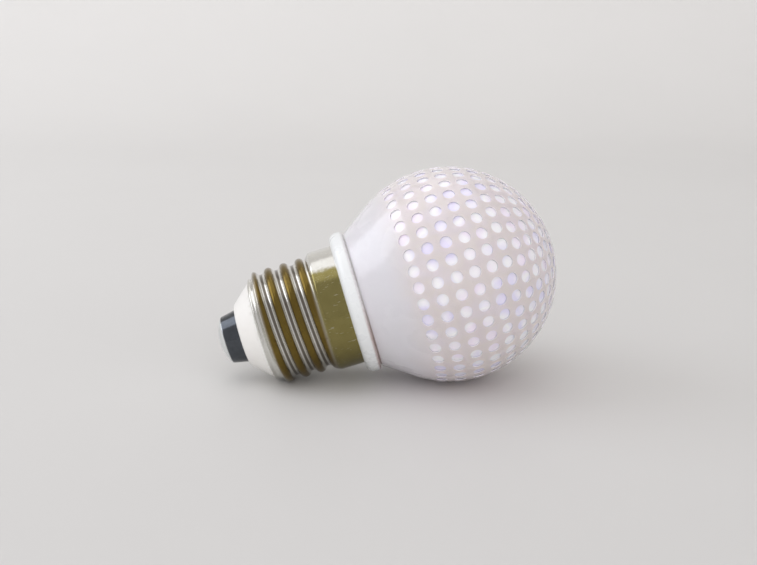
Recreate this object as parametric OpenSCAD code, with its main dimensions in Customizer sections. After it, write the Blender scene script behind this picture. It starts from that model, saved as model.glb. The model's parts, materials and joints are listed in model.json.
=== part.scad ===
// Dead globe lamp with a pierced white shell and an E27 screw cap, lying on its side.
// The globe and the first thread crest rest on z = 0. The origin is on that floor,
// under the middle of the lamp, and the cap points towards -X.

/* [Globe] */
// Outer diameter of the globe
globe_d = 49; // [44:0.5:70]
// Wall of the pierced outer shell
shell_wall = 0.25; // [0.2:0.05:1]
// Outer diameter of the open end of the neck
neck_d = 31.3; // [26:0.1:38]
// Slope of the neck's cone against the lamp's axis
neck_slope = 35; // [28:1:45]
// Gap between the shell and the inner diffuser
diffuser_clear = 0.05; // [0.03:0.01:0.3]

/* [Dots] */
// Diameter of the round holes
dot_d = 2.6; // [1:0.1:3.1]
// Latitude of the first row of holes, counted from the widest circle towards the crown
dot_first_row = -20.6; // [-24:0.1:-16]
// Step in latitude from the first row to the second
dot_row_step = 10; // [9:0.1:10.4]
// How fast that step shrinks towards the crown
dot_row_shrink = 0.12; // [0.08:0.01:0.16]
// Number of holes in each row, from the neck to the crown
dot_counts = [40, 40, 40, 40, 40, 36, 34, 33, 30, 24, 18, 12, 6];
// Turn of each row about the lamp's axis
dot_turns = [5, 5, 5, 5, 5, 7, 4.6, 7.2, 6.2, 0, 0, 0, 0];

/* [Collar] */
// Outer diameter of the collar ring
collar_d = 32.8; // [30:0.1:40]
// Thickness of the collar's flange
collar_h = 3.35; // [3:0.05:6]
// Radius of the flange's rounded rim on the cap side
collar_round = 2; // [0.2:0.1:2]
// Radius of the flange's rounded rim on the globe side
collar_edge = 0.8; // [0.1:0.05:0.9]
// Open seam between the flange and the end of the neck
collar_seam = 0.3; // [0.2:0.05:3]
// How far the collar's hub reaches into the neck
hub_reach = 1.8; // [0.5:0.1:4]
// How far the collar's spigot reaches into the skirt
spigot_reach = 4.2; // [2:0.1:4.4]
// Diameter of the wire passage through the collar
passage_d = 18; // [4:0.5:22]
// Clearance between two pieces that fit in one another
fit_clear = 0.05; // [0.02:0.01:0.2]

/* [Screw cap] */
// Outer diameter over the thread's crests
thread_major_d = 26.4; // [25:0.05:32]
// Outer diameter in the thread's roots
thread_minor_d = 24.2; // [23:0.05:30]
// Axial distance from one crest to the next, 7 turns to 25.4 mm
thread_pitch = 3.629; // [3:0.001:4.5]
// Length of the threaded part
thread_h = 14.4; // [12:0.1:25]
// From the front lip to the middle of the first crest, straight below the axis
first_crest_at = 2.7; // [1.5:0.1:5]
// Length over which the thread rises from the front lip
thread_fade = 1; // [0.5:0.1:2.4]
// How much narrower the roots are at the front lip
thread_taper = 0.4; // [0.1:0.05:0.6]
// Thickness of the rolled sheet
sheet = 0.35; // [0.25:0.05:0.6]
// Outer diameter of the smooth skirt
skirt_d = 27.6; // [26.5:0.1:30]
// Length of the smooth skirt
skirt_h = 5.2; // [5:0.1:15]
// Radius of the skirt's shoulder
shoulder_round = 0.6; // [0.2:0.05:0.9]
// Thickness of the front lip
lip_h = 0.75; // [0.5:0.05:2]
// Radius of the front lip's outer edge
lip_round = 0.4; // [0.1:0.05:0.6]

/* [Insulator] */
// Diameter where the insulator leaves the cap
insulator_rear_d = 22.4; // [18:0.1:22.6]
// Diameter of the insulator's front, before its edge is rounded
insulator_front_d = 14.2; // [13:0.1:17]
// Height of the insulator outside the cap
insulator_h = 4.6; // [2:0.1:8]
// Radius of the rounded front edge
insulator_round = 1.2; // [0.2:0.1:1.4]
// Depth of the insulator inside the cap
insulator_seat = 1.6; // [1:0.1:4]

/* [Contact] */
// Diameter at the insulator
contact_base_d = 12.3; // [8:0.1:12.6]
// Diameter of the front rim
contact_rim_d = 10.8; // [7.5:0.1:12]
// Height of the contact's side
contact_h = 3.7; // [1:0.1:8]
// Height of the domed front
contact_dome = 1.6; // [0.4:0.1:3]
// Diameter of the stem in the insulator
stem_d = 6; // [2:0.1:8]
// Length of the stem in the insulator
stem_h = 2.4; // [1:0.1:4]

/* [Hidden] */

curve_fn = 180;          // facets of the round surfaces in the preview
dot_fn = 32;             // facets of one hole in the preview
edge_steps = 8;          // straight steps in a rounded edge's section
thread_columns = 32;     // columns around the threaded part
thread_rows_a_turn = 10; // rows along one pitch of the threaded part
overlap = 0.2;           // how deep the threaded part runs into the lip and into the shoulder
cutter_margin = 1;       // how far a cutter stands out of what it cuts

globe_r = globe_d / 2;
diffuser_r = globe_r - shell_wall - diffuser_clear;
major_r = thread_major_d / 2;
minor_r = thread_minor_d / 2;
skirt_r = skirt_d / 2;
flange_r = collar_d / 2;
rear_r = insulator_rear_d / 2;
front_r = insulator_front_d / 2;
rim_r = contact_rim_d / 2;

// Stations along the lamp's axis: z = 0 at the globe's centre, the crown at +z, the cap at -z
neck_end = -globe_r * sin(neck_slope) - (globe_r * cos(neck_slope) - neck_d / 2) / tan(neck_slope);
hub_end = neck_end + hub_reach;
flange_top = neck_end - collar_seam;
flange_bottom = flange_top - collar_h;
spigot_end = flange_bottom - spigot_reach;
skirt_top = flange_bottom - skirt_h;
lip_top = skirt_top - thread_h;
lip_bottom = lip_top - lip_h;
insulator_front = lip_bottom - insulator_h;
contact_rim = insulator_front - contact_h;
contact_tip = contact_rim - contact_dome;
first_crest = lip_top + first_crest_at;

// Fits
neck_bore_r = neck_d / 2 - shell_wall / cos(neck_slope);
hub_r = neck_bore_r - fit_clear;
spigot_r = skirt_r - sheet - fit_clear;
lip_bore_r = rear_r + fit_clear;

// The thread's round crest and root are two arcs of one radius that meet at mid height
thread_depth = major_r - minor_r;
thread_arc = (pow(thread_pitch / 2, 2) + pow(thread_depth, 2)) / (4 * thread_depth);
dome_r = (pow(rim_r, 2) + pow(contact_dome, 2)) / (2 * contact_dome);

// Angle at which the lying lamp touches the floor with an edge at station z and radius r, rounded by edge_r
function touch(z, r, edge_r) =
  asin((globe_r - edge_r) / norm([z, r - edge_r])) - atan2(r - edge_r, -z);
lie = min(
  touch(first_crest, major_r, thread_arc),
  touch(lip_bottom + lip_round, minor_r - thread_taper, lip_round),
  touch(insulator_front, front_r, 0),
  touch(contact_rim, rim_r, 0),
  touch(flange_bottom + collar_round, flange_r, collar_round)
);
middle_x = (globe_r + (contact_tip + dome_r) * cos(lie) - dome_r) / 2;

// Latitude of row k of the holes
function dot_row(k) = dot_first_row + dot_row_step * k - dot_row_shrink * k * k;

// Points of a section's rounded edge
function arc(centre, r, from, to) = [
  for (i = [0 : edge_steps])
    let (a = from + (to - from) * i / edge_steps)
    centre + r * [cos(a), sin(a)]
];

// Height of the thread above its root at axial distance s from a crest
function crest_wave(s) =
  let (u = abs(s - thread_pitch * round(s / thread_pitch)))
  u < thread_pitch / 4
    ? thread_depth - thread_arc + sqrt(pow(thread_arc, 2) - pow(u, 2))
    : thread_arc - sqrt(pow(thread_arc, 2) - pow(thread_pitch / 2 - u, 2));

// How far the thread has risen at station z, from 0 at the lip to 1
function rise(z) =
  let (t = min(1, max(0, (z - lip_top) / thread_fade)))
  t * t * (3 - 2 * t);

// Point of the rolled wall at angle a and station z, inset is 0 outside and the sheet inside
function wall_point(a, z, inset) =
  let (
    wave = crest_wave(z - first_crest - thread_pitch * a / 360),
    r = minor_r - thread_taper + rise(z) * (thread_taper + wave) - inset
  )
  [r * cos(a), r * sin(a), z];

// Lays the upright lamp down on the floor
module place() {
  translate([-middle_x, 0, globe_r]) rotate([0, 90 - lie, 0]) children();
}

module spin_section() {
  rotate_extrude($fn = curve_fn) children();
}

// Solid globe of radius r with a tangent cone down to radius end_r at station end_z.
// The cone's part runs up to the globe's centre, so that the two parts overlap.
module globe_body(r, end_r, end_z) {
  cone_r = r * cos(neck_slope);
  cone_z = -r * sin(neck_slope);
  difference() {
    sphere(r = r, $fn = curve_fn);
    translate([0, 0, cone_z - r]) cylinder(r = r + cutter_margin, h = r);
  }
  spin_section() polygon([[0, 0], [cone_r, cone_z], [end_r, end_z], [0, end_z]]);
}

module dot_cutter() {
  translate([0, 0, globe_r - 3 * shell_wall])
    cylinder(d = dot_d, h = 3 * shell_wall + cutter_margin, $fn = dot_fn);
}

module globe_shell() {
  mouth_r = neck_bore_r - cutter_margin * tan(neck_slope);
  color("white") place() difference() {
    globe_body(globe_r, neck_d / 2, neck_end);
    globe_body(globe_r - shell_wall, mouth_r, neck_end - cutter_margin);
    for (k = [0 : len(dot_counts) - 1])
      for (i = [0 : dot_counts[k] - 1])
        rotate([0, 90 - dot_row(k), dot_turns[k] + 360 * i / dot_counts[k]]) dot_cutter();
    dot_cutter();
  }
}

module diffuser_globe() {
  end_r = neck_bore_r + hub_reach * tan(neck_slope) - diffuser_clear / cos(neck_slope);
  color("lavender") place() globe_body(diffuser_r, end_r, hub_end);
}

module collar_ring() {
  color("whitesmoke") place() spin_section() polygon(concat(
    [[passage_d / 2, hub_end], [passage_d / 2, spigot_end], [spigot_r, spigot_end], [spigot_r, flange_bottom]],
    arc([flange_r - collar_round, flange_bottom + collar_round], collar_round, -90, 0),
    arc([flange_r - collar_edge, flange_top - collar_edge], collar_edge, 0, 90),
    [[hub_r, flange_top], [hub_r, hub_end]]
  ));
}

// Closed tube of rolled sheet, whose outer and inner walls follow one thread
module rolled_thread() {
  start_z = lip_top - overlap;
  end_z = skirt_top + overlap;
  rows = ceil((end_z - start_z) / thread_pitch * thread_rows_a_turn);
  function grid(inset) = [
    for (j = [0 : rows]) for (i = [0 : thread_columns - 1])
      wall_point(360 * i / thread_columns, start_z + (end_z - start_z) * j / rows, inset)
  ];
  function at(j, i) = j * thread_columns + i % thread_columns;
  inner = (rows + 1) * thread_columns;
  outer_faces = [
    for (j = [0 : rows - 1]) for (i = [0 : thread_columns - 1]) for (f = [
      [at(j, i), at(j + 1, i), at(j + 1, i + 1)],
      [at(j, i), at(j + 1, i + 1), at(j, i + 1)]
    ]) f
  ];
  inner_faces = [for (f = outer_faces) [inner + f[2], inner + f[1], inner + f[0]]];
  start_faces = [
    for (i = [0 : thread_columns - 1]) for (f = [
      [at(0, i), at(0, i + 1), inner + at(0, i + 1)],
      [at(0, i), inner + at(0, i + 1), inner + at(0, i)]
    ]) f
  ];
  end_faces = [
    for (i = [0 : thread_columns - 1]) for (f = [
      [inner + at(rows, i), inner + at(rows, i + 1), at(rows, i + 1)],
      [inner + at(rows, i), at(rows, i + 1), at(rows, i)]
    ]) f
  ];
  polyhedron(
    points = concat(grid(0), grid(sheet)),
    faces = concat(outer_faces, inner_faces, start_faces, end_faces)
  );
}

// Half section of the front lip, turned in over the insulator
module lip_half() {
  lip_r = minor_r - thread_taper + sheet / 4;
  polygon(concat(
    [[lip_bore_r, lip_top], [lip_bore_r, lip_bottom]],
    arc([lip_r - lip_round, lip_bottom + lip_round], lip_round, -90, 0),
    [[lip_r, lip_top]]
  ));
}

// Half section of the smooth skirt with its shoulder
module skirt_half() {
  inner_r = skirt_r - sheet;
  step_r = minor_r - 2 * sheet;
  step_z = skirt_top + 2 * sheet;
  polygon(concat(
    [[step_r, step_z], [step_r, skirt_top]],
    arc([skirt_r - shoulder_round, skirt_top + shoulder_round], shoulder_round, -90, 0),
    [[skirt_r, flange_bottom], [inner_r, flange_bottom], [inner_r, step_z]]
  ));
}

module screw_shell() {
  color("silver") place() {
    rolled_thread();
    spin_section() lip_half();
    spin_section() skirt_half();
  }
}

module insulator() {
  cone_angle = atan2(insulator_h, rear_r - front_r);
  edge_x = front_r - insulator_round * tan(cone_angle / 2);
  socket_r = stem_d / 2 + fit_clear;
  socket_z = insulator_front + stem_h + fit_clear;
  color("white") place() spin_section() polygon(concat(
    [[0, socket_z], [socket_r, socket_z], [socket_r, insulator_front]],
    arc([edge_x, insulator_front + insulator_round], insulator_round, -90, cone_angle - 90),
    [[rear_r, lip_bottom], [rear_r, lip_bottom + insulator_seat], [0, lip_bottom + insulator_seat]]
  ));
}

// The stem and the side both run into the dome, so that the three parts overlap
module centre_contact() {
  side = [[0, insulator_front], [contact_base_d / 2, insulator_front], [rim_r, contact_rim], [0, contact_tip]];
  color("lightsteelblue") place() {
    translate([0, 0, contact_rim]) cylinder(d = stem_d, h = contact_h + stem_h, $fn = curve_fn);
    spin_section() polygon(side);
    intersection() {
      translate([0, 0, contact_tip + dome_r]) sphere(r = dome_r, $fn = curve_fn);
      translate([0, 0, contact_tip - cutter_margin])
        cylinder(r = dome_r, h = contact_dome + cutter_margin, $fn = curve_fn);
    }
  }
}

globe_shell();
diffuser_globe();
collar_ring();
screw_shell();
insulator();
centre_contact();
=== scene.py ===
import json
import math

import bmesh
import bpy
from mathutils import Matrix, Vector


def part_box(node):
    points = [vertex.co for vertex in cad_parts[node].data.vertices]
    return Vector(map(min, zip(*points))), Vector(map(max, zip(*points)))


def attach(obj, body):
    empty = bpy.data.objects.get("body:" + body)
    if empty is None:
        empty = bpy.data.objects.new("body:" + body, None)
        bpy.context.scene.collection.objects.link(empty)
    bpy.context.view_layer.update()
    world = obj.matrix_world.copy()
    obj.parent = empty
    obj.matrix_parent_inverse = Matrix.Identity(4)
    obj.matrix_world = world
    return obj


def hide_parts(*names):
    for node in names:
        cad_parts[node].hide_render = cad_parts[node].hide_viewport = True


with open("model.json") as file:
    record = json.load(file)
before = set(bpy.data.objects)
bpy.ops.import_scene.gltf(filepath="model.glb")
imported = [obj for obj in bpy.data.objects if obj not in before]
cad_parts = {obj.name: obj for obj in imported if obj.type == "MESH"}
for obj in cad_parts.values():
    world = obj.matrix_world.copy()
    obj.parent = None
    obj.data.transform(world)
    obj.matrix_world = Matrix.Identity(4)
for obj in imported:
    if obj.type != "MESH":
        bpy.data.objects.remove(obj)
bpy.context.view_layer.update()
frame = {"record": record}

MM = 0.001

# The lamp's own frame: +z runs along its axis from the middle of the globe to the crown,
# and x points down, square to the axis, as the lamp lies
skirt_mount = next(m for m in frame["record"]["mounts"] if m["name"] == "cap_skirt")
crown_way = -Vector(skirt_mount["axis"]).normalized()
side_way = Vector((0, 1, 0))
down_way = side_way.cross(crown_way)
globe_low, globe_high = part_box("globe_shell")
globe_r = (globe_high.z - globe_low.z) / 2
globe_middle = Vector((globe_high.x - globe_r, 0, globe_low.z + globe_r))
LAMP_AXES = Matrix((down_way, side_way, crown_way)).transposed()
LAMP = Matrix.Translation(globe_middle) @ LAMP_AXES.to_4x4()
LAMP_TURN = LAMP.to_euler()

# Sizes in the lamp's frame, in millimetres; stations run along z and the cap is at -z
GLOBE_R = 24.5
WALL = 0.25
NECK_SLOPE = 35
NECK_R, NECK_END = 15.65, -20.364
DIFFUSER_R, DIFFUSER_END_R, DIFFUSER_END = 24.2, 16.54, -18.564
COLLAR_R, COLLAR_TOP, COLLAR_BOTTOM = 16.4, -20.664, -24.014
COLLAR_ROUND, COLLAR_EDGE = 2.0, 0.8
HUB_R, SPIGOT_R, SPIGOT_END, PASSAGE_R = 15.29, 13.4, -28.214, 9.0
SKIRT_R, SKIRT_TOP = 13.8, -29.214
SHOULDER_START, SHOULDER_RUN = -31.1, 1.9
CREST_R, ROOT_R, PITCH, FIRST_CREST = 13.2, 12.1, 3.629, -40.914
SHEET = 0.35
LIP_END, LIP_BORE_R, LIP_R, LIP_ROUND = -44.364, 11.25, 11.79, 0.4
THREAD_START, THREAD_STOP = LIP_END + 0.75, -29.0
RUN_IN_DEPTH = 0.4
INSULATOR_R, INSULATOR_FRONT_R, INSULATOR_ROUND = 11.2, 7.1, 0.54
INSULATOR_FRONT, INSULATOR_SEAT = -48.964, -42.764
SOCKET_R, SOCKET_END = 3.05, -46.514
CONTACT_R, CONTACT_RIM_R, CONTACT_RIM, CONTACT_TIP = 6.15, 5.4, -52.664, -54.264
CONTACT_ROUND = 0.4
STEM_R, STEM_END = 3.0, -46.564

# The holes stand in rows about the axis. Row latitudes and turns are in degrees
DOT_R = 1.3
DOT_ROWS = [40, 40, 40, 40, 40, 36, 34, 33, 30, 24, 18, 12, 6]
DOT_TURNS = [5, 5, 5, 5, 5, 7, 4.6, 7.2, 6.2, 0, 0, 0, 0]
FIRST_ROW, ROW_STEP, ROW_CLOSING = -20.6, 10, 0.12

# Place along x, so on the upper side, where the skirt's olive colour, partly tarnish and partly a
# painted reflection, ends at a painted highlight stripe
PAINTED_HIGHLIGHT_EDGE = -10.2

# Way from the lamp to the brightest side of the room, and the room's dimmest and brightest light
ROOM_FRONT = (-0.14, -0.95, 0.28)
ROOM_DIM, ROOM_BRIGHT = 0.34, 1.60
BACKGROUND_LEVEL = 0.62


# ---------------------------------------------------------------- finishes


class Wire:
    """One output of a shader node. Sums on it add Math nodes."""

    def __init__(self, finish, socket):
        self.finish, self.socket = finish, socket

    def math(self, operation, *values):
        return self.finish.node("Math", {"operation": operation}, dict(enumerate(values)))

    def __add__(self, other):
        return self.math("ADD", self, other)

    __radd__ = __add__

    def __mul__(self, other):
        return self.math("MULTIPLY", self, other)

    __rmul__ = __mul__

    def __sub__(self, other):
        return self.math("SUBTRACT", self, other)

    def __rsub__(self, other):
        return self.math("SUBTRACT", other, self)

    def __truediv__(self, other):
        return self.math("DIVIDE", self, other)

    def __rtruediv__(self, other):
        return self.math("DIVIDE", other, self)

    def __abs__(self):
        return self.math("ABSOLUTE", self)


class Finish:
    """The nodes of one finish, or of the room's light."""

    def __init__(self, owner):
        owner.use_nodes = True
        self.owner, self.nodes, self.links = owner, owner.node_tree.nodes, owner.node_tree.links
        self.nodes.clear()

    def node(self, kind, settings=None, inputs=None, output=0):
        """Any node: its settings are made first, then its sockets get their values or wires."""
        made = self.nodes.new("ShaderNode" + kind)
        for name, value in (settings or {}).items():
            if name == "stops":
                ramp = made.color_ramp.elements
                while len(ramp) < len(value):
                    ramp.new(0.5)
                for stop, (place, colour) in zip(ramp, value):
                    stop.position, stop.color = place, (*colour, 1)
            else:
                setattr(made, name, value)
        for name, value in (inputs or {}).items():
            if isinstance(value, Wire):
                self.links.new(value.socket, made.inputs[name])
            elif value is not None:
                made.inputs[name].default_value = value
        return Wire(self, made.outputs[output])

    def lamp_place(self):
        """Place in the lamp's frame, in millimetres."""
        there = self.node("TexCoord", output="Object")
        return self.node("Mapping", {"vector_type": "TEXTURE"}, {
            "Vector": there, "Location": globe_middle, "Rotation": LAMP_TURN, "Scale": (MM, MM, MM),
        })

    def part(self, place, axis):
        return self.node("SeparateXYZ", None, {0: place}, output=axis)

    def along(self, place):
        """Station along the lamp's axis."""
        return self.part(place, "Z")

    def length(self, place):
        return self.node("VectorMath", {"operation": "LENGTH"}, {0: place}, output="Value")

    def across(self, place):
        """Distance from the lamp's axis."""
        return self.length(self.stretched(place, 1, 0))

    def stretched(self, place, across, along):
        return self.node("Mapping", {"vector_type": "POINT"}, {
            "Vector": place, "Scale": (across, across, along),
        })

    def noise(self, place, scale, detail=3, roughness=0.55, seed=0.0):
        moved = self.node("VectorMath", {"operation": "ADD"}, {0: place, 1: (seed, -seed, 2 * seed)})
        return self.node("TexNoise", None, {
            "Vector": moved, "Scale": scale, "Detail": detail, "Roughness": roughness,
        })

    def step(self, value, low, high):
        """From 0 at low to 1 at high, smoothly."""
        return self.node("MapRange", {"interpolation_type": "SMOOTHSTEP"}, {
            "Value": value, "From Min": low, "From Max": high, "To Min": 0.0, "To Max": 1.0,
        })

    def ramp(self, value, *stops):
        return self.node("ValToRGB", {"stops": stops}, {"Fac": value})

    def mix(self, amount, first, second):
        colours = [c if isinstance(c, Wire) else (*c, 1) for c in (first, second)]
        return self.node("Mix", {"data_type": "RGBA", "clamp_factor": True},
                         {0: amount, 6: colours[0], 7: colours[1]}, output=2)

    def bump(self, height, strength, distance, under=None):
        return self.node("Bump", None, {
            "Height": height, "Strength": strength, "Distance": distance, "Normal": under,
        })

    def surface(self, **inputs):
        shader = self.node("BsdfPrincipled", None, {n.replace("_", " "): v for n, v in inputs.items()})
        return self.show(shader, "OutputMaterial")

    def show(self, shader, kind):
        self.links.new(shader.socket, self.nodes.new("ShaderNode" + kind).inputs["Surface"])
        return self.owner


def new_finish(name):
    return Finish(bpy.data.materials.new(name))


def rgb(red, green, blue):
    """Linear colour from 0 to 255 values as a screen shows them."""
    return tuple(v / 255 / 12.92 if v <= 10 else ((v / 255 + 0.055) / 1.055) ** 2.4
                 for v in (red, green, blue))


def shell_plastic():
    f = new_finish("shell_white_plastic")
    place = f.lamp_place()
    tint = f.ramp(f.noise(place, 0.16, 2), (0.30, rgb(238, 219, 226)), (0.50, rgb(239, 222, 221)),
                  (0.70, rgb(239, 222, 231)))
    # The neck, up to the first rows of holes, is painted whiter than the rest, a painted highlight
    pierced = f.step(f.along(place) + 3.0 * f.noise(place, 0.11, 1, seed=7), -14.0, -4.0)
    body = f.mix(pierced, rgb(242, 235, 247), tint)
    smudge = f.step(f.noise(place, 0.10, 2, 0.5, seed=31), 0.42, 0.80)
    grain = f.noise(place, 6.0, 2)
    # Inside the holes the cut wall is painted lighter than the glossy skin, painted light that takes
    # out the shade in the holes
    painted_light_wall = f.step(GLOBE_R - f.length(place), 0.02, 0.06) * pierced
    skin = f.mix(0.10 * smudge, body, rgb(210, 202, 198))
    return f.surface(
        Base_Color=f.mix(painted_light_wall, skin, rgb(252, 247, 255)),
        Roughness=0.24 + 0.16 * smudge + 0.05 * grain,
        Normal=f.bump(grain, 0.04, 0.00002),
        Coat_Weight=0.8, Coat_Roughness=0.08, IOR=1.45,
        Subsurface_Weight=0.6, Subsurface_Radius=(1.0, 0.9, 1.0), Subsurface_Scale=0.0020,
    )


def diffuser_plastic():
    f = new_finish("diffuser_milky_plastic")
    place = f.lamp_place()
    cloud = f.noise(place, 0.12, 2, seed=40)
    return f.surface(
        Base_Color=f.ramp(cloud, (0.36, rgb(232, 226, 255)), (0.49, rgb(253, 250, 255)),
                          (0.62, rgb(248, 235, 253))),
        Roughness=0.20 + 0.10 * cloud,
        Normal=f.bump(f.noise(place, 3.0, 2), 0.03, 0.00002),
        Coat_Weight=1.0, Coat_Roughness=0.08, IOR=1.45,
        Subsurface_Weight=0.6, Subsurface_Radius=(1.0, 0.9, 1.0), Subsurface_Scale=0.0020,
    )


def collar_plastic():
    f = new_finish("collar_white_plastic")
    place = f.lamp_place()
    # The seam at the globe is painted darker, most of all on the underside: painted shade, with random
    # dirt on it. Dirt also lies at the foot by the skirt
    seam = f.step(f.along(place), COLLAR_TOP - 0.8, COLLAR_TOP - 0.15)
    under = f.step(f.part(place, "X"), -6.0, 5.0)
    foot = 1 - f.step(f.across(place), SKIRT_R, SKIRT_R + 0.8)
    dirt = f.step(f.noise(place, 0.9, 3, 0.6), 0.50, 0.74)
    cloud = f.noise(place, 0.3, 2)
    body = f.mix(cloud, rgb(229, 232, 232), rgb(221, 224, 223))
    seam_shade_and_dirt = f.mix((0.15 + 0.50 * under + 0.20 * dirt) * seam, body, rgb(156, 118, 106))
    return f.surface(
        Base_Color=f.mix(0.45 * foot * dirt, seam_shade_and_dirt, rgb(150, 138, 112)),
        Roughness=0.25 + 0.06 * cloud,
        Normal=f.bump(cloud, 0.03, 0.00001),
        Coat_Weight=0.3, Coat_Roughness=0.12, IOR=1.5,
    )


def cap_metal():
    f = new_finish("cap_nickel_plate")
    place = f.lamp_place()
    along, down, side = [f.part(place, axis) for axis in "ZXY"]
    around = f.node("Math", {"operation": "ARCTAN2"}, {0: side, 1: down})
    threaded = 1 - f.step(along, SKIRT_TOP - 1.6, SKIRT_TOP - 0.4)
    past_lip = f.step(along, LIP_END + 1.2, LIP_END + 2.4)

    # On the thread the crests are brass, partly worn plate and partly a painted warm reflection; the
    # flanks are bright nickel, and the roots are painted dark, a painted shade
    turns = (along - FIRST_CREST) / PITCH - around / (2 * math.pi)
    height = 0.5 + 0.5 * f.node("Math", {"operation": "COSINE"}, {0: 2 * math.pi * turns})
    crest = f.step(height, 0.36, 0.62) * threaded * past_lip
    root = (1 - f.step(height, 0.02, 0.14)) * threaded * past_lip
    turned = f.noise(f.stretched(place, 0.04, 11.0), 1.0, 3, 0.6)
    cloud = f.noise(place, 0.35, 3, 0.6, seed=3)

    # The skirt is olive, partly tarnish and partly a painted warm and dark reflection, below a painted
    # highlight stripe on its upper side, with most scuff flecks along the stripe's edge
    fleck = f.step(f.noise(place, 4.5, 3, 0.75, seed=11), 0.63, 0.68)
    rubbed = (f.step(abs(down - PAINTED_HIGHLIGHT_EDGE), 2.4, 0.5)
              * f.step(f.noise(place, 0.55, 2, 0.5, seed=14), 0.40, 0.52))
    scuff = fleck * rubbed * (1 - threaded)
    scratches = f.noise(f.stretched(place, 1.4, 0.16), 2.4, 2, 0.7, seed=27)
    scratch = f.step(scratches, 0.66, 0.69) * (1 - threaded)
    bright = f.mix(cloud, rgb(226, 226, 222), rgb(212, 210, 202))
    tarnish_and_painted_reflection = f.mix(cloud, rgb(146, 137, 88), rgb(126, 117, 70))
    # Painted highlight: the skirt's upper side is lighter nickel
    painted_highlight_top = f.step(down + 1.2 * f.noise(place, 0.8, 3, seed=21), PAINTED_HIGHLIGHT_EDGE, PAINTED_HIGHLIGHT_EDGE - 1)
    plate = f.mix(threaded + (1 - threaded) * painted_highlight_top, tarnish_and_painted_reflection, bright)
    # Brass on the crests: partly wear, partly a painted warm reflection
    brass_and_painted_reflection = f.mix(crest, plate, f.mix(cloud, rgb(122, 104, 52), rgb(100, 82, 38)))
    grime = f.step(f.noise(place, 1.1, 4, 0.7, seed=19), 0.54, 0.70) * (0.15 + 0.45 * crest)
    # Random grime, and painted shade in the thread roots
    grime_and_root_shade = f.mix(0.5 * grime + 0.85 * root, brass_and_painted_reflection, rgb(70, 58, 40))
    return f.surface(
        Base_Color=f.mix(0.6 * scuff + 0.25 * scratch, grime_and_root_shade, rgb(238, 236, 230)),
        Metallic=1 - 0.2 * grime,
        Roughness=0.13 + 0.08 * turned + 0.16 * grime + 0.25 * scuff + 0.15 * scratch,
        Normal=f.bump(scuff + scratch, 0.25, 0.00003, f.bump(turned, 0.08, 0.00002)),
    )


def insulator_plastic():
    f = new_finish("insulator_white_plastic")
    place = f.lamp_place()
    across = f.across(place)
    dirt = f.step(f.noise(place, 0.8, 4, 0.65, seed=5), 0.48, 0.70)
    edge = (f.step(across, INSULATOR_R - 1, INSULATOR_R)
            + (1 - f.step(across, CONTACT_R, CONTACT_R + 0.5)))
    cloud = f.noise(place, 0.35, 2, seed=2)
    body = f.mix(cloud, rgb(238, 237, 233), rgb(231, 229, 224))
    return f.surface(
        Base_Color=f.mix(0.30 * edge * dirt, body, rgb(142, 126, 98)),
        Roughness=0.31 + 0.06 * cloud,
        Normal=f.bump(cloud, 0.03, 0.00001),
        Coat_Weight=0.2, Coat_Roughness=0.18, IOR=1.5,
    )


def contact_metal():
    f = new_finish("contact_nickel_plate")
    place = f.lamp_place()
    front = 1 - f.step(f.along(place), CONTACT_RIM - 0.1, CONTACT_RIM + 0.3)
    patch = f.noise(place, 0.7, 4, 0.65, seed=23)
    rings = f.noise(f.stretched(place, 0.08, 7.0), 1.0, 3, 0.6, seed=4)
    rub = f.step(f.noise(f.stretched(place, 1.2, 0.3), 1.6, 4, 0.7, seed=9), 0.50, 0.68) * front
    # The side is painted darker than the face, a painted dark reflection on the same nickel
    side = f.mix(patch, rgb(92, 96, 102), rgb(70, 73, 76))
    face = f.mix(patch, rgb(234, 237, 237), rgb(220, 223, 223))
    return f.surface(
        Base_Color=f.mix(0.5 * rub, f.mix(front, side, face), rgb(226, 228, 224)),
        Metallic=1.0,
        Roughness=0.12 + 0.06 * rings + 0.14 * front + 0.18 * rub,
        Normal=f.bump(rub, 0.15, 0.00003, f.bump(rings, 0.06, 0.00002)),
    )


def stage_paper(name, colour):
    f = new_finish(name)
    mottle = f.noise(f.node("TexCoord", output="Object"), 14.0, 3)
    shaded = tuple(0.97 * c for c in colour)
    return f.surface(Base_Color=f.mix(mottle, colour, shaded), Roughness=0.55, IOR=1.4)


# ---------------------------------------------------------------- shapes


def outline(*corners):
    """An open line of (radius, station) corners in the lamp's xz plane."""
    shape = bmesh.new()
    points = [shape.verts.new((r * MM, 0, z * MM)) for r, z in corners]
    for pair in zip(points, points[1:]):
        shape.edges.new(pair)
    return shape, points


def grow_line(shape, last, *corners):
    """Runs a line on from its last point through more (radius, station) corners."""
    for r, z in corners:
        last = bmesh.ops.extrude_vert_indiv(shape, verts=[last])["verts"][0]
        last.co = Vector((r * MM, 0, z * MM))
    return last


def round_corner(shape, corner, reach, segments):
    bmesh.ops.bevel(shape, geom=[corner], offset=reach * MM, affect="VERTICES", segments=segments,
                    profile=0.5, material=-1, offset_type="OFFSET")


def swing(shape, point, middle, angle, steps):
    """Draws an arc in the xz plane from a point."""
    bmesh.ops.spin(shape, geom=[point], cent=middle, axis=(0, 1, 0), dvec=(0, 0, 0), angle=angle,
                   steps=steps, use_merge=False)


def turn(shape, steps):
    """Spins the line about the lamp's axis."""
    bmesh.ops.spin(shape, geom=shape.verts[:] + shape.edges[:], cent=(0, 0, 0), axis=(0, 0, 1),
                   dvec=(0, 0, 0), angle=2 * math.pi, steps=steps, use_merge=True)
    bmesh.ops.remove_doubles(shape, verts=shape.verts[:], dist=1e-7)
    bmesh.ops.recalc_face_normals(shape, faces=shape.faces[:])


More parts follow.
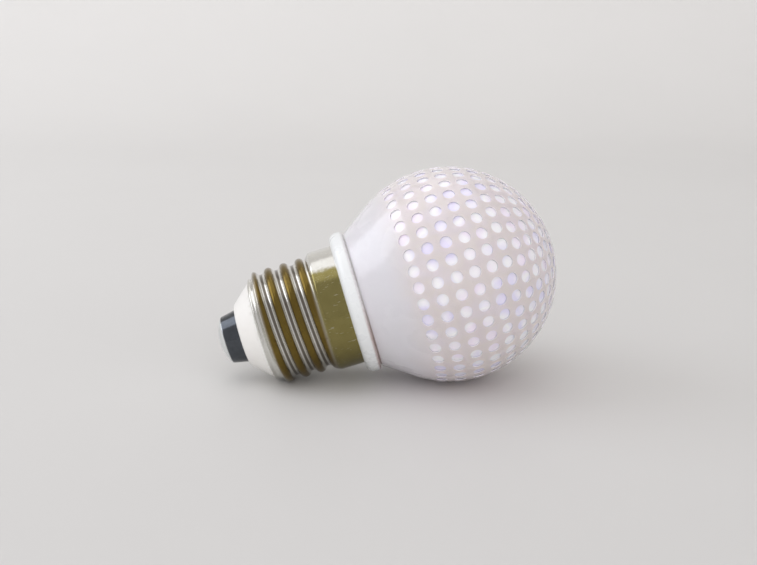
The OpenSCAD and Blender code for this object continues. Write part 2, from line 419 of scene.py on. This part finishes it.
def add_to_scene(name, data):
    made = bpy.data.objects.new(name, data)
    bpy.context.scene.collection.objects.link(made)
    return made


def add_shape(name, shape):
    mesh = bpy.data.meshes.new(name)
    shape.to_mesh(mesh)
    shape.free()
    return add_to_scene(name, mesh)


def soften(mesh, sharp):
    """Smooths the shading, apart from edges sharper than the angle in degrees."""
    mesh.shade_smooth()
    mesh.set_sharp_from_angle(angle=math.radians(sharp))


def add_piece(name, shape, finish, node, sharp=35):
    """Lays a shape down with the lamp and puts it in place of a CAD node."""
    bmesh.ops.transform(shape, matrix=LAMP, verts=shape.verts[:])
    piece = add_shape(name, shape)
    piece.data.materials.append(finish)
    soften(piece.data, sharp)
    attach(piece, "root")
    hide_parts(node)
    return piece


def globe_line(radius, rings, end_r, end_z):
    """Half outline of a globe from its crown, with its cone down to the open end of the neck."""
    shape = bmesh.new()
    crown = shape.verts.new((0, 0, radius * MM))
    swing(shape, crown, (0, 0, 0), math.radians(90 + NECK_SLOPE), rings)
    lowest = min(shape.verts, key=lambda v: v.co.z)
    return shape, grow_line(shape, lowest, (end_r, end_z))


def hole_turns():
    """How each hole's cutter turns from the crown: the crown's own, then row by row from the neck."""
    yield Matrix.Identity(4)
    for row, (count, start) in enumerate(zip(DOT_ROWS, DOT_TURNS)):
        latitude = FIRST_ROW + ROW_STEP * row - ROW_CLOSING * row * row
        tip = Matrix.Rotation(math.radians(90 - latitude), 4, "Y")
        for dot in range(count):
            yield Matrix.Rotation(math.radians(start + 360 * dot / count), 4, "Z") @ tip


def hole_cutters():
    cutters = bmesh.new()
    for turned in hole_turns():
        pin = bmesh.ops.create_cone(cutters, cap_ends=True, segments=24, radius1=DOT_R * MM,
                                    radius2=DOT_R * MM, depth=8 * WALL * MM)["verts"]
        bmesh.ops.translate(cutters, verts=pin, vec=(0, 0, GLOBE_R * MM))
        bmesh.ops.transform(cutters, matrix=turned, verts=pin)
    bmesh.ops.recalc_face_normals(cutters, faces=cutters.faces[:])
    bmesh.ops.transform(cutters, matrix=LAMP, verts=cutters.verts[:])
    return cutters


def make_globe_shell():
    shape, _ = globe_line(GLOBE_R, 64, NECK_R, NECK_END)
    turn(shape, 176)
    bmesh.ops.solidify(shape, geom=shape.faces[:], thickness=WALL * MM)
    piece = add_piece("pierced_shell", shape, shell_plastic(), "globe_shell", 30)

    punch = add_shape("hole_cutters", hole_cutters())
    cut = piece.modifiers.new("holes", "BOOLEAN")
    cut.operation, cut.solver, cut.object = "DIFFERENCE", "MANIFOLD", punch
    bpy.context.view_layer.update()
    drawn = piece.evaluated_get(bpy.context.evaluated_depsgraph_get())
    pierced = bpy.data.meshes.new_from_object(drawn)
    piece.modifiers.clear()
    piece.data = pierced
    pierced.name = "pierced_shell"
    bpy.data.objects.remove(punch)
    soften(pierced, 30)


def make_diffuser():
    shape, end = globe_line(DIFFUSER_R, 56, DIFFUSER_END_R, DIFFUSER_END)
    grow_line(shape, end, (0, DIFFUSER_END))
    turn(shape, 144)
    add_piece("inner_diffuser", shape, diffuser_plastic(), "diffuser_globe")


def make_collar():
    shape, points = outline(
        (PASSAGE_R, DIFFUSER_END), (PASSAGE_R, SPIGOT_END), (SPIGOT_R, SPIGOT_END),
        (SPIGOT_R, COLLAR_BOTTOM), (COLLAR_R, COLLAR_BOTTOM), (COLLAR_R, COLLAR_TOP),
        (HUB_R, COLLAR_TOP), (HUB_R, DIFFUSER_END),
    )
    shape.edges.new((points[-1], points[0]))
    rim, edge = points[4], points[5]
    round_corner(shape, rim, COLLAR_ROUND, 12)
    round_corner(shape, edge, COLLAR_EDGE, 8)
    turn(shape, 144)
    add_piece("collar", shape, collar_plastic(), "collar_ring")


def thread_height(angle, station):
    """How far the rolled thread stands over its root."""
    turns = (station - FIRST_CREST - PITCH * angle / (2 * math.pi)) / PITCH
    from_crest = abs(turns - round(turns))
    depth = CREST_R - ROOT_R
    bend = ((PITCH / 2) ** 2 + depth ** 2) / (4 * depth)
    if from_crest < 0.25:
        return depth - bend + math.sqrt(bend ** 2 - (from_crest * PITCH) ** 2)
    return bend - math.sqrt(bend ** 2 - ((0.5 - from_crest) * PITCH) ** 2)


def ease(share):
    share = min(1, max(0, share))
    return share * share * (3 - 2 * share)


def cap_radius(angle, station):
    """Radius of the rolled sheet, which rises from the lip to the thread and from it to the skirt."""
    rise = ease(station - THREAD_START)
    grown = ROOT_R - RUN_IN_DEPTH + rise * (RUN_IN_DEPTH + thread_height(angle, station))
    return grown + (SKIRT_R - grown) * ease((station - SHOULDER_START) / SHOULDER_RUN)


def make_screw_cap():
    shape, points = outline(
        (LIP_BORE_R, LIP_END), (LIP_R, LIP_END), (ROOT_R, THREAD_START), (ROOT_R, THREAD_STOP),
        (SKIRT_R, THREAD_STOP), (SKIRT_R, COLLAR_BOTTOM),
    )
    round_corner(shape, points[1], LIP_ROUND, 6)
    threaded = max(shape.edges, key=lambda e: e.calc_length())
    bmesh.ops.subdivide_edges(shape, edges=[threaded], cuts=124)
    turn(shape, 112)
    for v in shape.verts:
        x, y, z = v.co / MM
        r = math.hypot(x, y)
        if THREAD_START - 0.01 < z < THREAD_STOP + 0.01 and r < ROOT_R + 0.01:
            grown = cap_radius(math.atan2(y, x), z)
            v.co.x, v.co.y = x / r * grown * MM, y / r * grown * MM
    bmesh.ops.remove_doubles(shape, verts=shape.verts[:], dist=1e-6)
    bmesh.ops.recalc_face_normals(shape, faces=shape.faces[:])
    bmesh.ops.solidify(shape, geom=shape.faces[:], thickness=SHEET * MM)
    add_piece("screw_cap", shape, cap_metal(), "screw_shell", 50)


def make_insulator():
    shape, points = outline(
        (0, SOCKET_END), (SOCKET_R, SOCKET_END), (SOCKET_R, INSULATOR_FRONT),
        (INSULATOR_FRONT_R, INSULATOR_FRONT), (INSULATOR_R, LIP_END), (INSULATOR_R, INSULATOR_SEAT),
        (0, INSULATOR_SEAT),
    )
    round_corner(shape, points[3], INSULATOR_ROUND, 8)
    turn(shape, 128)
    add_piece("insulator_cone", shape, insulator_plastic(), "insulator")


def make_contact():
    rise = CONTACT_RIM - CONTACT_TIP
    dome = (CONTACT_RIM_R ** 2 + rise ** 2) / (2 * rise)
    shape = bmesh.new()
    tip = shape.verts.new((0, 0, CONTACT_TIP * MM))
    swing(shape, tip, (0, 0, (CONTACT_TIP + dome) * MM), -math.asin(CONTACT_RIM_R / dome), 14)
    rim = max(shape.verts, key=lambda v: v.co.x)
    grow_line(shape, rim, (CONTACT_R, INSULATOR_FRONT), (STEM_R, INSULATOR_FRONT),
              (STEM_R, STEM_END), (0, STEM_END))
    round_corner(shape, rim, CONTACT_ROUND, 8)
    turn(shape, 96)
    add_piece("contact_button", shape, contact_metal(), "centre_contact")


# ---------------------------------------------------------------- stage, light and camera


def make_backdrop():
    """A wide sheet of paper that lies under the lamp and curves up behind it. In metres."""
    width, front, back, top, bend = 2.4, -0.7, 0.8, 1.2, 0.4
    shape = bmesh.new()
    corners = (front, 0), (back, 0), (back, top)
    points = [shape.verts.new((-width / 2, y, z)) for y, z in corners]
    for pair in zip(points, points[1:]):
        shape.edges.new(pair)
    round_corner(shape, points[1], bend / MM, 16)
    across = bmesh.ops.extrude_edge_only(shape, edges=shape.edges[:])["geom"]
    far = [g for g in across if isinstance(g, bmesh.types.BMVert)]
    bmesh.ops.translate(shape, verts=far, vec=(width, 0, 0))
    bmesh.ops.recalc_face_normals(shape, faces=shape.faces[:])
    backdrop = add_shape("backdrop", shape)
    if backdrop.data.polygons[0].normal.z < 0:
        backdrop.data.flip_normals()
    backdrop.data.shade_smooth()
    backdrop.data.materials.append(stage_paper("backdrop_paper", rgb(209, 208, 205)))


def add_light(name, place, size, power, colour=(1, 1, 1)):
    data = bpy.data.lights.new(name, "AREA")
    data.shape, data.size, data.size_y = "RECTANGLE", size[0], size[1]
    data.energy, data.color = power, colour
    light = add_to_scene(name, data)
    light.location = place
    light.rotation_euler = (globe_middle - Vector(place)).to_track_quat("-Z", "Y").to_euler()


def make_lights():
    """A window at the cap's side, a light overhead and a pale room that is brighter in front."""
    add_light("window_light", (-0.66, 0.14, 0.43), (0.60, 0.56), 1.9, (0.94, 0.97, 1.05))
    add_light("overhead_light", (-0.15, 0.20, 0.95), (1.0, 0.8), 1.6)
    f = Finish(bpy.data.worlds.new("pale_room"))
    way = f.node("TexCoord", output="Generated")
    facing = f.node("VectorMath", {"operation": "DOT_PRODUCT"}, {0: way, 1: ROOM_FRONT}, output="Value")
    level = f.node("MapRange", None, {
        "Value": facing, "From Min": 0.0, "From Max": 1.0, "To Min": ROOM_DIM, "To Max": ROOM_BRIGHT,
    })
    # Past the paper's edge there is an even pale background, and the metal shows it too
    rays = [f.node("LightPath", output="Is " + kind + " Ray")
            for kind in ("Camera", "Glossy", "Transmission")]
    seen = f.step(sum(rays), 0.0, 1.0)
    strength = level * (1 - seen) + BACKGROUND_LEVEL * seen
    glow = f.node("Background", None, {"Strength": strength, "Color": (1, 0.98, 1, 1)})
    bpy.context.scene.world = f.show(glow, "OutputWorld")


def make_camera():
    """Stands in front of the lamp, a little towards the cap and above it."""
    sideways, above, roll = [math.radians(angle) for angle in (5.5, 14.0, -1.0)]
    ahead = Vector((math.sin(sideways) * math.cos(above), math.cos(sideways) * math.cos(above),
                    -math.sin(above)))
    level = Vector((math.cos(sideways), -math.sin(sideways), 0))
    right = Matrix.Rotation(roll, 3, ahead) @ level
    up = right.cross(ahead)
    data = bpy.data.cameras.new("camera")
    data.sensor_width, data.lens = 36, 52.3
    data.clip_start, data.clip_end = 0.01, 10
    camera = add_to_scene("camera", data)
    place = globe_middle - 0.2517 * ahead - 0.01595 * right - 0.00192 * up
    turned = Matrix((right, up, -ahead)).transposed()
    camera.matrix_world = Matrix.Translation(place) @ turned.to_4x4()
    bpy.context.scene.camera = camera


bpy.context.scene.view_settings.view_transform = "Standard"
make_camera()
make_lights()
make_backdrop()
make_globe_shell()
make_diffuser()
make_collar()
make_screw_cap()
make_insulator()
make_contact()
